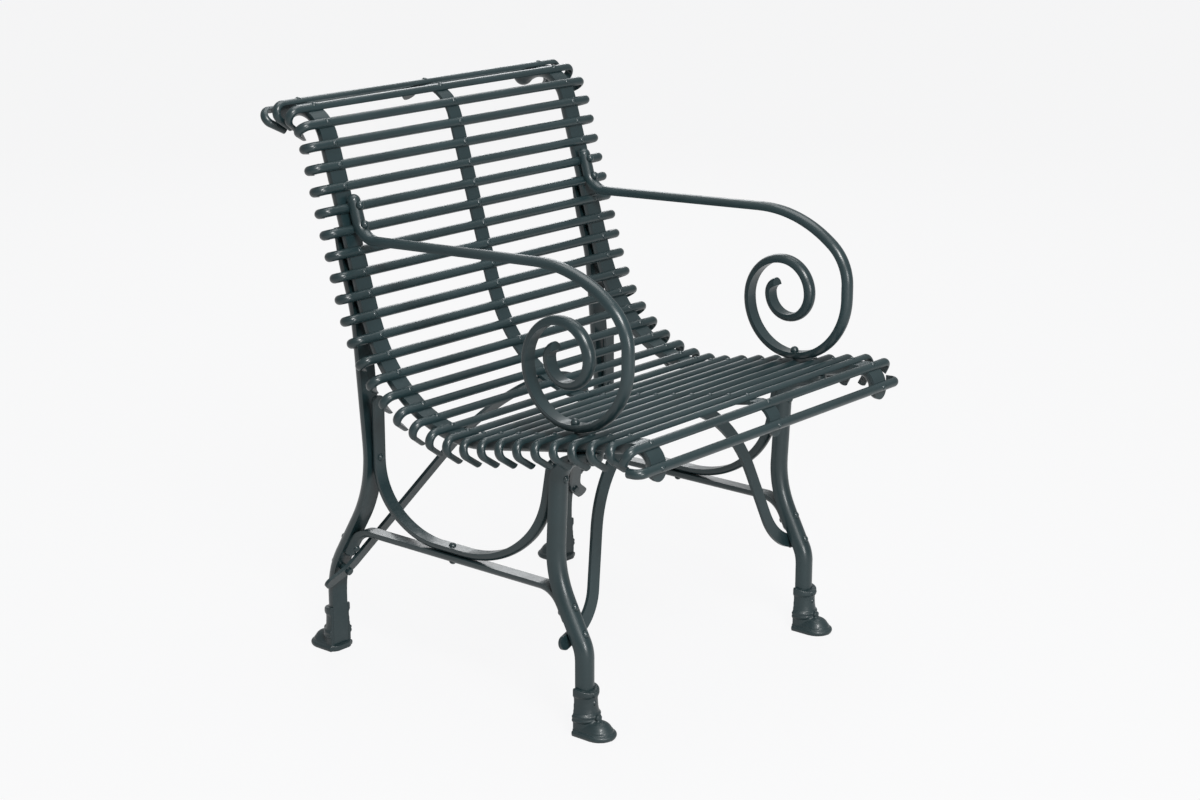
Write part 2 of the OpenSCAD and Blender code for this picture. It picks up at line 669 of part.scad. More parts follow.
// The three straps share one line; the side straps are heavier and have their crown below
module strap(x, form) {
    side_plane(x)
        bar(onward(strap_start, -front_end), concat([[front_end, 0]], strap_chain), form, -1,
            round_start = true, round_end = true);
}
module side_strap(side) {
    color("#3c4447")
        difference() {
            strap(side * frame_x, frame_bar);
            for (i = [1 : slat_count])
                if (!carries_arm(i)) slat_rivet_hole(i, side * frame_x, frame_thickness);
            arm_bolt_holes(side * arm_x);
        }
}
module centre_strap() {
    color("#3c4447")
        difference() {
            strap(0, centre_bar);
            for (i = [1 : slat_count]) slat_rivet_hole(i, 0, centre_thickness);
        }
}

module rear_leg(side) {
    scarf_tip = frame_thickness / 8;
    color("#394144")
        difference() {
            side_plane(side * frame_x) {
                intersection() {
                    bar(rear_top, [[rear_scarf + lap, 0]], frame_bar, 1);
                    translate([rear_top[0], rear_top[1], -frame_width]) rotate([0, 0, rear_top[2]])
                        linear_extrude(2 * frame_width)
                            polygon([[-1, -1], [rear_scarf + 1, -1],
                                [rear_scarf + 1, frame_thickness + 1], [-1, scarf_tip]]);
                }
                bar(corner(rear_top, rear_chain, 1), rest_of(rear_chain, 1), frame_bar, 1, full = 1);
            }
            frame_holes(side * frame_x);
        }
}
module front_leg(side) {
    color("#394144")
        difference() {
            side_plane(side * frame_x) bar(front_top, front_chain, frame_bar, -1, round_start = true);
            frame_holes(side * frame_x);
        }
}

module arm(side) {
    color("#444c4f")
        difference() {
            side_plane(side * arm_x) bar(arm_top, arm_chain, light_bar, -1, round_start = true);
            arm_bolt_holes(side * arm_x);
        }
}
module swag(side) {
    color("#444c4f")
        difference() {
            side_plane(side * frame_x)
                bar(swag_front, swag_chain, light_bar, -1, round_start = true, round_end = true);
            frame_holes(side * frame_x);
        }
}
module arch(side) {
    color("#444c4f")
        difference() {
            side_plane(side * frame_x)
                bar(arch_start, arch_chain, light_bar, 1, round_start = true, round_end = true);
            frame_holes(side * frame_x);
        }
}

// Brace bar from tip to tip, flat in the XY plane
module brace(chain, tip_x, start) {
    bar([-tip_x, 0, start], chain, brace_bar, 1);
    for (x = [-tip_x, tip_x])
        translate([x, 0, -brace_thickness / 2 - swell])
            cylinder(d = brace_width + 2 * swell, h = brace_thickness + 2 * swell);
}
module front_brace() {
    color("#444c4f")
        difference() {
            front_plane() brace(front_brace_chain, front_tip_x, front_tip_slope);
            for (side = [left, right]) frame_holes(side * frame_x);
        }
}
module rear_brace() {
    color("#444c4f")
        difference() {
            rear_plane() brace(rear_brace_chain, rear_tip_x, rear_tip_slope);
            for (side = [left, right]) frame_holes(side * frame_x);
        }
}

// D-shaped solid: straight from the flat back to x = middle, then turned round that line
module d_solid(middle) {
    rotate([90, 0, 90]) linear_extrude(middle) {
        children();
        mirror([1, 0]) children();
    }
    translate([middle, 0, 0]) rotate([0, 0, -90]) rotate_extrude(angle = 180) children();
}
// Cast foot with its flat back on the YZ plane and its toe towards +X
module foot() {
    rim = 4;
    toe_top = 24;
    toe_bead = 5;
    collar_stud = 2.5;
    collar_knob = 6;
    toe_radius = sole_width / 2 - 2;
    neck_middle = frame_thickness - frame_width / 2 + 2;
    neck = frame_width / 2 + foot_wall;
    difference() {
        union() {
            d_solid(sole_length - sole_width / 2) {
                square([sole_width / 2 - rim, 2 * rim]);
                translate([sole_width / 2 - rim, rim])
                    intersection() {
                        circle(r = rim);
                        translate([0, -rim]) square(2 * rim);
                    }
                intersection() {
                    translate([0, toe_top - toe_radius]) circle(r = toe_radius);
                    square([sole_width, toe_top]);
                }
            }
            d_solid(neck_middle)
                polygon([[0, rim], [neck + 2, rim], [neck + 2.5, 25], [neck + 4.5, 27], [neck + 4.5, 30],
                    [neck + 2.5, 32], [neck, 56], [neck + 1.5, 58], [neck + 1.5, collar_height],
                    [0, collar_height]]);
            translate([neck_middle + neck + 7, 0, toe_top + 4]) sphere(r = toe_bead);
            translate([neck_middle + neck, 0, 52]) sphere(r = collar_stud);
            translate([neck_middle + neck, 0, collar_height - 7]) sphere(r = collar_knob);
        }
        translate([-1, -neck - 3, collar_height - 6]) rotate([0, -12, 0])
            cube([2 * neck, 2 * neck + 6, 30]);
        translate([0, 0, foot_floor]) linear_extrude(collar_height) {
            half_round(frame_width + 4 * fit_gap, frame_thickness + 2 * fit_gap);
            translate([-1, -frame_width / 2 - 2 * fit_gap]) square([2, frame_width + 4 * fit_gap]);
        }
    }
}
module front_foot(side) {
    color("#353c3f")
        translate([side * frame_x, front_ankle[0], 0]) rotate([0, 0, -90]) foot();
}
module rear_foot(side) {
    color("#353c3f")
        translate([side * frame_x, rear_ankle[0], 0]) rotate([0, 0, 90]) foot();
}

module slat_rivets(x, strap_thickness) {
    color("#4a5356")
        for (i = [1 : slat_count])
            if (x == 0 || !carries_arm(i)) slat_rivet(i, x, strap_thickness);
}
module arm_bolts() {
    color("#4a5356")
        for (side = [left, right], seat = arm_bolt_seats)
            at_pose(side * arm_x, seat) {
                dome(bolt_head, bolt_head_height);
                shank(arm_bolt_length);
            }
}
// Rivet through a leg and a brace, with a collar between them and a washer behind;
// its children are the slab in which the brace lies
module brace_rivet(x, pose, reach) {
    at_pose(x, aside(pose, crest)) {
        dome(frame_head, frame_head_height);
        shank(crest + reach);
    }
    difference() {
        at_pose(x, pose) translate([0, 0, -reach]) cylinder(d = frame_head, h = reach - 3 * fit_gap);
        children();
    }
}
module brace_slab() {
    translate([0, 0, -brace_thickness / 2 - swell - fit_gap])
        translate([-slat_length / 2, -brace_width, 0])
            cube([slat_length, 4 * brace_width, brace_thickness + 2 * (swell + fit_gap)]);
}
module frame_rivets() {
    color("#4a5356")
        for (side = [left, right]) {
            for (line = frame_rivet_lines)
                at_pose(side * frame_x, line[0]) {
                    dome(frame_head, frame_head_height);
                    shank(line[1]);
                    translate([0, 0, -line[1]]) mirror([0, 0, 1]) dome(frame_head, frame_head_height);
                }
            brace_rivet(side * frame_x, brace_rivet_poses[0], brace_reach[0]) front_plane() brace_slab();
            brace_rivet(side * frame_x, brace_rivet_poses[1], brace_reach[1]) rear_plane() brace_slab();
        }
}

for (i = [1 : slat_count])
    slat(i);
side_strap(left);  // side_strap_left
side_strap(right);  // side_strap_right
centre_strap();
arm(left);  // arm_left
arm(right);  // arm_right
front_leg(left);  // front_leg_left
front_leg(right);  // front_leg_right
rear_leg(left);  // rear_leg_left
rear_leg(right);  // rear_leg_right
front_foot(left);  // front_foot_left
front_foot(right);  // front_foot_right
rear_foot(left);  // rear_foot_left
rear_foot(right);  // rear_foot_right
swag(left);  // swag_left
swag(right);  // swag_right
arch(left);  // arch_left
arch(right);  // arch_right
front_brace();
rear_brace();
slat_rivets(left * frame_x, frame_thickness);  // slat_rivets_left
slat_rivets(0, centre_thickness);  // slat_rivets_centre
slat_rivets(right * frame_x, frame_thickness);  // slat_rivets_right
arm_bolts();
frame_rivets();
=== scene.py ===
"""Wrought iron armchair, dressed: coated bars, cast feet, pale floor, soft light and camera.

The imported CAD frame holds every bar, strap, slat and rivet in its real place. This script
gives each of them its coat, models the four castings that the legs stand in, and sets the
chair on a pale studio floor under soft light. All lengths are in metres, Z is up from the
floor and the sitter faces -Y.
"""

import logging
import math
from dataclasses import dataclass, field
from enum import Enum
from typing import Any, Callable, Iterable, Mapping, Sequence

import bpy
from mathutils import Matrix, Vector


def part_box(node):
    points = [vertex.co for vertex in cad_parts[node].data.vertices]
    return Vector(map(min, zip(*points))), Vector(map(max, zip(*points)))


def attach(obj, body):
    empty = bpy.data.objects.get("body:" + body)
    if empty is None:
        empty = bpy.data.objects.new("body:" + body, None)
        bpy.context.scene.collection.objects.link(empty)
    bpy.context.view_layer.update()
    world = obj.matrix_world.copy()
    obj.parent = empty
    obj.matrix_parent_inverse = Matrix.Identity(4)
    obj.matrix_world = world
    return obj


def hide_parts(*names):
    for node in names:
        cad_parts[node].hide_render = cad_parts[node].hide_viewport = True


log = logging.getLogger("armchair")

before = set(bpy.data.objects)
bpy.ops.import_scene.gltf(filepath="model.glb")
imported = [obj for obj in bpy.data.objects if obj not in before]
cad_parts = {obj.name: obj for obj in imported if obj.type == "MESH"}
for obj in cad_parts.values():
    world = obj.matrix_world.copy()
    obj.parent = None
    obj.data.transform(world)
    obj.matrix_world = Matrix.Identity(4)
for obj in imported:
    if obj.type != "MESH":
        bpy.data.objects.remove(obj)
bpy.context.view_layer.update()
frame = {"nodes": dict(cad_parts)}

Colour = tuple[float, float, float]
Point = tuple[float, float, float]


# Shader expressions


class Value:
    """One output of a shader tree, usable in ordinary arithmetic."""

    def __init__(self, recipe: "Recipe", socket: bpy.types.NodeSocket) -> None:
        """Wrap a socket.

        Args:
            recipe: The material or world tree that the socket belongs to.
            socket: The output socket.
        """
        self.recipe = recipe
        self.socket = socket

    def _math(self, operation: str, first: Any, second: Any = 0.0) -> "Value":
        """Add a Math node.

        Args:
            operation: The node's operation.
            first: Its first value or link.
            second: Its second value or link.

        Returns:
            The node's output.
        """
        return self.recipe.add("ShaderNodeMath", {"operation": operation}, {0: first, 1: second})

    def __add__(self, other: Any) -> "Value":
        """Sum with a number or a value."""
        return self._math("ADD", self, other)

    def __radd__(self, other: Any) -> "Value":
        """Sum with a number on the left."""
        return self._math("ADD", other, self)

    def __sub__(self, other: Any) -> "Value":
        """Difference with a number or a value."""
        return self._math("SUBTRACT", self, other)

    def __rsub__(self, other: Any) -> "Value":
        """Difference from a number on the left."""
        return self._math("SUBTRACT", other, self)

    def __mul__(self, other: Any) -> "Value":
        """Product with a number or a value."""
        return self._math("MULTIPLY", self, other)

    def __rmul__(self, other: Any) -> "Value":
        """Product with a number on the left."""
        return self._math("MULTIPLY", other, self)

    def __pow__(self, other: Any) -> "Value":
        """Power of a number or a value."""
        return self._math("POWER", self, other)

    def clamped(self) -> "Value":
        """The value held between 0 and 1."""
        return self._math("MINIMUM", self._math("MAXIMUM", self, 0.0), 1.0)

    def larger(self, other: Any) -> "Value":
        """The larger of this and another value."""
        return self._math("MAXIMUM", self, other)


class Recipe:
    """A node tree that is written as expressions."""

    def __init__(self, tree: bpy.types.NodeTree) -> None:
        """Start with an empty tree.

        Args:
            tree: The node tree of a material or of the world.
        """
        self.tree = tree
        tree.nodes.clear()

    def add(
        self,
        kind: str,
        settings: Mapping[str, Any] | None = None,
        sockets: Mapping[str | int, Any] | None = None,
        output: str | int = 0,
    ) -> Value:
        """Add one node.

        Args:
            kind: The node's type.
            settings: Its properties, set first; "stops" gives a ramp's positions and colours.
            sockets: Its inputs by name or number, as plain values or as links.
            output: The output that is wanted.

        Returns:
            That output.
        """
        node = self.tree.nodes.new(kind)
        for key, value in (settings or {}).items():
            if key == "stops":
                self._set_stops(node.color_ramp, value)
            else:
                setattr(node, key, value)
        for key, value in (sockets or {}).items():
            if isinstance(value, Value):
                self.tree.links.new(value.socket, node.inputs[key])
            else:
                node.inputs[key].default_value = value
        return Value(self, node.outputs[output]) if len(node.outputs) else Value(self, None)

    @staticmethod
    def _set_stops(ramp: bpy.types.ColorRamp, stops: Sequence[tuple[float, float]]) -> None:
        """Give a ramp its grey stops.

        Args:
            ramp: The ramp, with two stops at first.
            stops: Position and grey level of each stop.
        """
        while len(ramp.elements) < len(stops):
            ramp.elements.new(1.0)
        for element, (place, level) in zip(ramp.elements, stops):
            element.position = place
            element.color = (level, level, level, 1.0)

    def noise(self, where: Value, size: float, detail: float = 2.0, rough: float = 0.5) -> Value:
        """Noise whose patches are about one size.

        Args:
            where: The coordinates.
            size: Size of a patch.
            detail: Octaves of finer noise.
            rough: Strength of the finer octaves.

        Returns:
            Noise between 0 and 1.
        """
        return self.add(
            "ShaderNodeTexNoise",
            {"noise_dimensions": "3D"},
            {"Vector": where, "Scale": 1.0 / size, "Detail": detail, "Roughness": rough},
        )

    def ramp(self, value: Value, stops: Sequence[tuple[float, float]]) -> Value:
        """A value sent through a ramp.

        Args:
            value: The value from 0 to 1.
            stops: Position and level of each stop.

        Returns:
            The ramp's level.
        """
        return self.add("ShaderNodeValToRGB", {"stops": stops}, {0: value})

    def blend(self, share: Value, first: Any, second: Any) -> Value:
        """Two colours mixed.

        Args:
            share: Share of the second colour.
            first: The first colour, as numbers or a link.
            second: The second colour, as numbers or a link.

        Returns:
            The mixed colour.
        """
        plain = [(*c, 1.0) if isinstance(c, tuple) and len(c) == 3 else c for c in (first, second)]
        return self.add(
            "ShaderNodeMix", {"data_type": "RGBA"}, {0: share, 6: plain[0], 7: plain[1]}, output=2
        )

    def bump(self, height: Value, depth: float, strength: float, under: Value | None = None) -> Value:
        """A bumped normal.

        Args:
            height: Height from 0 to 1.
            depth: The depth that height 1 stands for.
            strength: Strength of the bump.
            under: The normal that it is laid on.

        Returns:
            The normal.
        """
        sockets: dict[str | int, Any] = {"Height": height, "Distance": depth, "Strength": strength}
        if under is not None:
            sockets["Normal"] = under
        return self.add("ShaderNodeBump", None, sockets)


# Finishes


@dataclass(frozen=True)
class IronCoat:
    """Semi-gloss coating on bent bar, with its peel, its uneven ground and a little dust.

    Sizes are those of one patch of the noise, and depths are those of the relief.
    """

    name: str
    colour: Colour
    deep: Colour
    cloud_size: float = 0.110
    dust: Colour = (0.10, 0.125, 0.128)
    dust_share: float = 0.08
    dust_size: float = 0.045
    roughness: float = 0.34
    roughness_play: float = 0.14
    peel_size: float = 0.0016
    peel_depth: float = 0.00007
    peel_roughness: float = 0.10
    forge_size: float = 0.020
    forge_depth: float = 0.0009
    grain_size: float = 0.0004
    grain_depth: float = 0.0
    scuff_share: float = 0.25
    scuff_size: float = 0.0065
    scuff_roughness: float = 0.10
    dust_roughness: float = 0.12
    coat_weight: float = 0.22
    coat_roughness: float = 0.12
    index: float = 1.5

    def material(self) -> bpy.types.Material:
        """Make the material.

        Returns:
            A material on object coordinates.
        """
        made = bpy.data.materials.new(self.name)
        made.use_nodes = True
        recipe = Recipe(made.node_tree)
        where = recipe.add("ShaderNodeTexCoord", output="Object")
        up = recipe.add(
            "ShaderNodeSeparateXYZ", None, {0: recipe.add("ShaderNodeNewGeometry", output="Normal")}, 2
        )
        cloud = recipe.noise(where, self.cloud_size, detail=3.0)
        patch = recipe.noise(where, self.forge_size, detail=2.0)
        fine = recipe.noise(where, self.peel_size, detail=2.0, rough=0.6)

        tone = recipe.blend(recipe.ramp(cloud, ((0.34, 0.0), (0.66, 1.0))), self.deep, self.colour)
        lighter = tuple(min(1.0, c * 1.5 + 0.01) for c in self.colour)
        scratches = recipe.noise(where, self.scuff_size, detail=6.0, rough=0.72)
        scuffs = recipe.ramp(scratches, ((0.63, 0.0), (0.72, 1.0)))
        worn = recipe.blend(scuffs * self.scuff_share, tone, lighter)
        drift = recipe.noise(where, self.dust_size, detail=5.0, rough=0.65)
        level = recipe.ramp(up, ((0.35, 0.0), (1.0, 1.0)))
        settled = level * recipe.ramp(drift, ((0.36, 0.15), (0.70, 1.0)))
        coated = recipe.blend(settled * self.dust_share, worn, self.dust)

        dull = (cloud - 0.5) * self.roughness_play + (fine - 0.5) * self.peel_roughness
        worn_dull = dull + scuffs * self.scuff_roughness + settled * self.dust_roughness
        roughness = (worn_dull + self.roughness).clamped()

        normal = recipe.bump(patch, self.forge_depth, 0.35)
        normal = recipe.bump(fine, self.peel_depth, 0.55, normal)
        if self.grain_depth > 0.0:
            grain = recipe.noise(where, self.grain_size, detail=4.0, rough=0.7)
            normal = recipe.bump(grain, self.grain_depth, 0.8, normal)
        surface = recipe.add(
            "ShaderNodeBsdfPrincipled",
            None,
            {
                "Base Color": coated,
                "Roughness": roughness,
                "Normal": normal,
                "Coat Weight": self.coat_weight,
                "Coat Roughness": self.coat_roughness,
                "IOR": self.index,
            },
        )
        recipe.add("ShaderNodeOutputMaterial", None, {"Surface": surface})
        return made


SLAT_COAT = IronCoat("slat_coat", (0.0120, 0.0285, 0.0325), (0.0085, 0.0215, 0.0245))
FRAME_COAT = IronCoat(
    "frame_coat",
    (0.0115, 0.0275, 0.0315),
    (0.0080, 0.0205, 0.0235),
    forge_size=0.028,
    forge_depth=0.0013,
)
CASTING_COAT = IronCoat(
    "casting_coat",
    (0.0110, 0.0255, 0.0290),
    (0.0070, 0.0175, 0.0205),
    roughness=0.44,
    forge_size=0.009,
    forge_depth=0.0006,
    grain_size=0.0009,
    grain_depth=0.00012,
    scuff_share=0.4,
)
RIVET_COAT = IronCoat(
    "rivet_coat",
    (0.0130, 0.0300, 0.0340),
    (0.0090, 0.0225, 0.0260),
    roughness=0.30,
    forge_size=0.0045,
    forge_depth=0.0007,
    dust_share=0.06,
)


@dataclass(frozen=True)
class PaleFloor:
    """Pale studio floor that keeps a soft shadow."""

    colour: Colour = (0.50, 0.505, 0.505)
    mottle_size: float = 0.9
    mottle_shade: float = 0.985
    roughness: float = 0.85
    glow: Colour = (0.975, 0.975, 0.98)
    glow_share: float = 0.92
    mirrored_share: float = 0.35

    def material(self) -> bpy.types.Material:
        """Make the material.

        Returns:
            A matt pale surface that the camera sees partly as plain white.
        """
        made = bpy.data.materials.new("pale_floor")
        made.use_nodes = True
        recipe = Recipe(made.node_tree)
        where = recipe.add("ShaderNodeTexCoord", output="Object")
        mottle = recipe.noise(where, self.mottle_size, detail=2.0)
        shade = tuple(c * self.mottle_shade for c in self.colour)
        matt = recipe.add(
            "ShaderNodeBsdfPrincipled",
            None,
            {"Base Color": recipe.blend(mottle, self.colour, shade), "Roughness": self.roughness},
        )
        glow = recipe.add(
            "ShaderNodeEmission", None, {"Color": (*self.glow, 1.0), "Strength": 1.0}
        )
        camera = recipe.add("ShaderNodeLightPath", output="Is Camera Ray")
        glossy = recipe.add("ShaderNodeLightPath", output="Is Glossy Ray")
        seen = camera.larger(glossy * self.mirrored_share) * self.glow_share
        recipe.add(
            "ShaderNodeOutputMaterial",
            None,
            {"Surface": recipe.add("ShaderNodeMixShader", None, {0: seen, 1: matt, 2: glow})},
        )
        return made


# Modelling by hand


class Bench:
    """The few hand movements that the castings are made with, on one object at a time."""

    NEAR: float = 1e-6
    TURN_STEPS: int = 40

    @staticmethod
    def clear() -> None:
        """Leave edit mode and select nothing."""
        if bpy.context.object is not None and bpy.context.object.mode != "OBJECT":
            bpy.ops.object.mode_set(mode="OBJECT")
        bpy.ops.object.select_all(action="DESELECT")

    @staticmethod
    def take(piece: bpy.types.Object) -> None:
        """Make one object the only selected and active one.

        Args:
            piece: The object.
        """
        Bench.clear()
        piece.select_set(True)
        bpy.context.view_layer.objects.active = piece

    @staticmethod
    def pick(piece: bpy.types.Object, wanted: Callable[[Vector], bool]) -> None:
        """Select a mesh's points by their place, in edit mode.

        Args:
            piece: The object, active and in edit mode.
            wanted: Says for a point's place whether it is selected.
        """
        bpy.ops.mesh.select_all(action="DESELECT")
        bpy.ops.object.mode_set(mode="OBJECT")
        for point in piece.data.vertices:
            point.select = wanted(point.co)
        chosen = {point.index for point in piece.data.vertices if point.select}
        for edge in piece.data.edges:
            edge.select = set(edge.vertices) <= chosen
        for face in piece.data.polygons:
            face.select = set(face.vertices) <= chosen
        bpy.ops.object.mode_set(mode="EDIT")

    @staticmethod
    def apply(piece: bpy.types.Object, kind: str, **settings: Any) -> None:
        """Add a modifier and apply it.

        Args:
            piece: The object.
            kind: The modifier's type.
            settings: Its properties.
        """
        Bench.take(piece)
        modifier = piece.modifiers.new(kind.lower(), kind)
        for key, value in settings.items():
            setattr(modifier, key, value)
        bpy.ops.object.modifier_apply(modifier=modifier.name)

    @staticmethod
    def half_lathe(name: str, profile: Sequence[tuple[float, float]], middle: float) -> bpy.types.Object:
        """Model a D-shaped solid: a profile turned half round, then drawn back to a flat.

        Args:
            name: Name of the object.
            profile: Distance from the axis and height of each point, axis to axis.
            middle: Distance of the axis in front of the flat, which is at y = 0.

        Returns:
            The closed solid, with its round side towards -Y.
        """
        Bench.clear()
        bpy.ops.mesh.primitive_plane_add(size=0.01, location=(0.0, 0.0, 0.0))
        piece = bpy.context.object
        piece.name = name
        bpy.ops.object.mode_set(mode="EDIT")
        bpy.ops.mesh.merge(type="CENTER")
        bpy.ops.transform.translate(value=(profile[0][0], -middle, profile[0][1]))
        for before, after in zip(profile, profile[1:]):
            step = (after[0] - before[0], 0.0, after[1] - before[1])
            bpy.ops.mesh.extrude_region_move(TRANSFORM_OT_translate={"value": step})
        bpy.ops.mesh.select_all(action="SELECT")
        bpy.ops.mesh.spin(
            steps=Bench.TURN_STEPS, angle=math.pi, center=(0.0, -middle, 0.0), axis=(0.0, 0.0, 1.0)
        )
        Bench.pick(piece, lambda co: abs(co.y + middle) < Bench.NEAR)
        bpy.ops.mesh.select_mode(type="EDGE")
        bpy.ops.mesh.extrude_edges_move(TRANSFORM_OT_translate={"value": (0.0, middle, 0.0)})
        bpy.ops.mesh.select_mode(type="VERT")
        bpy.ops.mesh.select_all(action="SELECT")
        bpy.ops.mesh.remove_doubles(threshold=Bench.NEAR)
        Bench.pick(piece, lambda co: abs(co.y) < Bench.NEAR)
        bpy.ops.mesh.edge_face_add()
        bpy.ops.mesh.select_all(action="SELECT")
        bpy.ops.mesh.normals_make_consistent(inside=False)
        bpy.ops.object.mode_set(mode="OBJECT")
        return piece


class Stand(Enum):
    """The four legs' feet, by their CAD node and the way the toe points."""

    FRONT_LEFT = ("front_foot_left", -1)
    FRONT_RIGHT = ("front_foot_right", -1)
    REAR_LEFT = ("rear_foot_left", 1)
    REAR_RIGHT = ("rear_foot_right", 1)


@dataclass
class CastFeet:
    """The four castings that the legs stand in, modelled once and copied.

    The pattern has the leg's flat at y = 0 and its toe towards -Y. The heel is the part of the
    sole's rim that lies behind the leg.
    """

    sole_width: float = 0.048
    sole_length: float = 0.056
    leg_width: float = 0.030
    leg_thickness: float = 0.018
    wall: float = 0.003
    collar_height: float = 0.070
    collar_slant: float = 12.0
    slant_drop: float = 0.006
    rim: float = 0.0042
    rim_undercut: float = 0.0015
    dome_inset: float = 0.0052
    dome_base: float = 0.0065
    dome_rise: float = 0.0175
    heel: float = 0.006
    heel_radius: float = 0.016
    floor: float = 0.005
    play: float = 0.0003
    voxel: float = 0.0008
    finish: IronCoat = CASTING_COAT
    made: list[bpy.types.Object] = field(default_factory=list)

    def sole(self) -> bpy.types.Object:
        """The sole with its rounded rim and the domed toe.

        Returns:
            A closed solid.
        """
        half = self.sole_width / 2
        dome = half - self.dome_inset
        profile = self.rim_profile()
        profile += [(dome, 0.0092), (half - 0.0048, 0.0105), (half - 0.0050, 0.0122)]
        for turn in self.turns(18, 90, 9):
            profile.append((dome * math.cos(turn), self.dome_base + self.dome_rise * math.sin(turn)))
        profile[-1] = (0.0, profile[-1][1])
        return Bench.half_lathe("foot_sole", profile, self.sole_length - half)

    def rim_profile(self) -> list[tuple[float, float]]:
        """The rounded rim of the sole, from its middle below to the top of the rim.

        Returns:
            Distance from the axis and height of each point.
        """
        half = self.sole_width / 2
        middle = half - self.rim
        profile = [(0.0, 0.0), (half - self.rim_undercut, 0.0)]
        for turn in self.turns(-50, 90, 8):
            profile.append((middle + self.rim * math.cos(turn), self.rim + self.rim * math.sin(turn)))
        return profile

    @staticmethod
    def turns(first: float, last: float, steps: int) -> list[float]:
        """Angles in even steps.

        Args:
            first: The first angle, in degrees.
            last: The last angle, in degrees.
            steps: Number of steps between them.

        Returns:
            The angles in radians, with both ends.
        """
        return [math.radians(first + step * (last - first) / steps) for step in range(steps + 1)]

    def welt(self) -> bpy.types.Object:
        """The sole's rim carried on behind the leg, with rounded corners there.

        Returns:
            A closed solid.
        """
        profile = self.rim_profile()
        profile.append((0.0, profile[-1][1]))
        welt = Bench.half_lathe("foot_welt", profile, self.sole_length - self.sole_width / 2 + self.heel)
        rounded = self.rounded_heel()
        Bench.apply(welt, "BOOLEAN", operation="INTERSECT", solver="EXACT", object=rounded)
        bpy.data.objects.remove(rounded)
        Bench.take(welt)
        bpy.ops.transform.translate(value=(0.0, self.heel, 0.0))
        bpy.ops.object.transform_apply(location=True, rotation=True, scale=True)
        return welt

    def rounded_heel(self) -> bpy.types.Object:
        """A block whose two upright corners behind the leg are rounded.

        Returns:
            A closed block, as wide as the sole and larger than it on its other sides.
        """
        Bench.clear()
        bpy.ops.mesh.primitive_cube_add(size=1.0, location=(0.0, -0.5, 0.0))
        block = bpy.context.object
        block.scale = (self.sole_width, 1.0, 1.0)
        bpy.ops.object.transform_apply(location=True, rotation=True, scale=True)
        for edge in block.data.edges:
            first, second = (block.data.vertices[index].co for index in edge.vertices)
            behind = first.y > -Bench.NEAR and second.y > -Bench.NEAR
            edge.select = behind and first.x * second.x > 0.0
        bpy.context.tool_settings.mesh_select_mode = (False, True, False)
        bpy.ops.object.mode_set(mode="EDIT")
        bpy.ops.mesh.bevel(offset=self.heel_radius, segments=12, affect="EDGES")
        bpy.ops.object.mode_set(mode="OBJECT")
        bpy.context.tool_settings.mesh_select_mode = (True, False, False)
        return block

    def collar(self) -> bpy.types.Object:
        """The neck that holds the leg, with its double ridge and its flared rim.

        Returns:
            A closed solid.
        """
        neck = self.leg_width / 2 + self.wall
        profile = [
            (0.0, 0.004), (neck + 0.0015, 0.004), (neck + 0.0028, 0.0205), (neck + 0.0046, 0.0222),
            (neck + 0.0050, 0.0240), (neck + 0.0044, 0.0258), (neck + 0.0030, 0.0266),
            (neck + 0.0044, 0.0274), (neck + 0.0048, 0.0292), (neck + 0.0042, 0.0310),
            (neck + 0.0022, 0.0324), (neck + 0.0008, 0.0400), (neck + 0.0002, 0.0500),
            (neck + 0.0004, 0.0560), (neck + 0.0018, 0.0578), (neck + 0.0026, 0.0600),
            (neck + 0.0024, 0.0650), (neck + 0.0018, self.collar_height), (0.0, self.collar_height),
        ]
        return Bench.half_lathe("foot_collar", profile, self.middle)

    @property
    def middle(self) -> float:
        """Distance of the neck's axis in front of the flat back."""
        return self.leg_thickness - self.leg_width / 2 + 0.002

    def knob(self, place: Point, size: Point) -> bpy.types.Object:
        """A rounded knob with a flattened, slightly drooping face.

        Args:
            place: Its middle.
            size: Its half sizes.

        Returns:
            A closed solid.
        """
        Bench.clear()
        bpy.ops.mesh.primitive_uv_sphere_add(segments=24, ring_count=14, radius=1.0, location=place)
        piece = bpy.context.object
        piece.scale = size
        bpy.ops.object.transform_apply(location=True, rotation=True, scale=True)
        bpy.ops.object.mode_set(mode="EDIT")
        Bench.pick(piece, lambda co: co.y < place[1] - size[1] * 0.6)
        bpy.ops.transform.resize(value=(1.0, 0.55, 1.0), center_override=place)
        bpy.ops.transform.translate(value=(0.0, 0.0, -size[2] * 0.12))
        bpy.ops.object.mode_set(mode="OBJECT")
        return piece

    def socket(self) -> bpy.types.Object:
        """The hollow for the leg, open at the top.

        Returns:
            A closed cutter.
        """
        radius = self.leg_width / 2 + self.play
        flank = self.leg_thickness - self.leg_width / 2
        top = 2 * self.collar_height
        profile = [(0.0, self.floor), (radius, self.floor), (radius, top), (0.0, top)]
        cutter = Bench.half_lathe("foot_socket", profile, flank)
        bpy.ops.object.mode_set(mode="EDIT")
        Bench.pick(cutter, lambda co: abs(co.y) < Bench.NEAR)
        bpy.ops.transform.translate(value=(0.0, self.voxel, 0.0))
        bpy.ops.object.mode_set(mode="OBJECT")
        return cutter

    def slant(self) -> bpy.types.Object:
        """The sloping cut over the collar, lower behind than at its front.

        Returns:
            A closed cutter.
        """
        Bench.clear()
        size = 0.08
        bpy.ops.mesh.primitive_cube_add(size=size, location=(0.0, -0.015, self.collar_height + size / 2))
        cutter = bpy.context.object
        bpy.ops.object.mode_set(mode="EDIT")
        Bench.pick(cutter, lambda co: co.z < 0.0)
        bpy.ops.transform.rotate(
            value=math.radians(-self.collar_slant),
            orient_axis="X",
            center_override=(0.0, 0.0, self.collar_height - self.slant_drop),
        )
        bpy.ops.object.mode_set(mode="OBJECT")
        bpy.ops.object.transform_apply(location=True, rotation=True, scale=True)
        return cutter

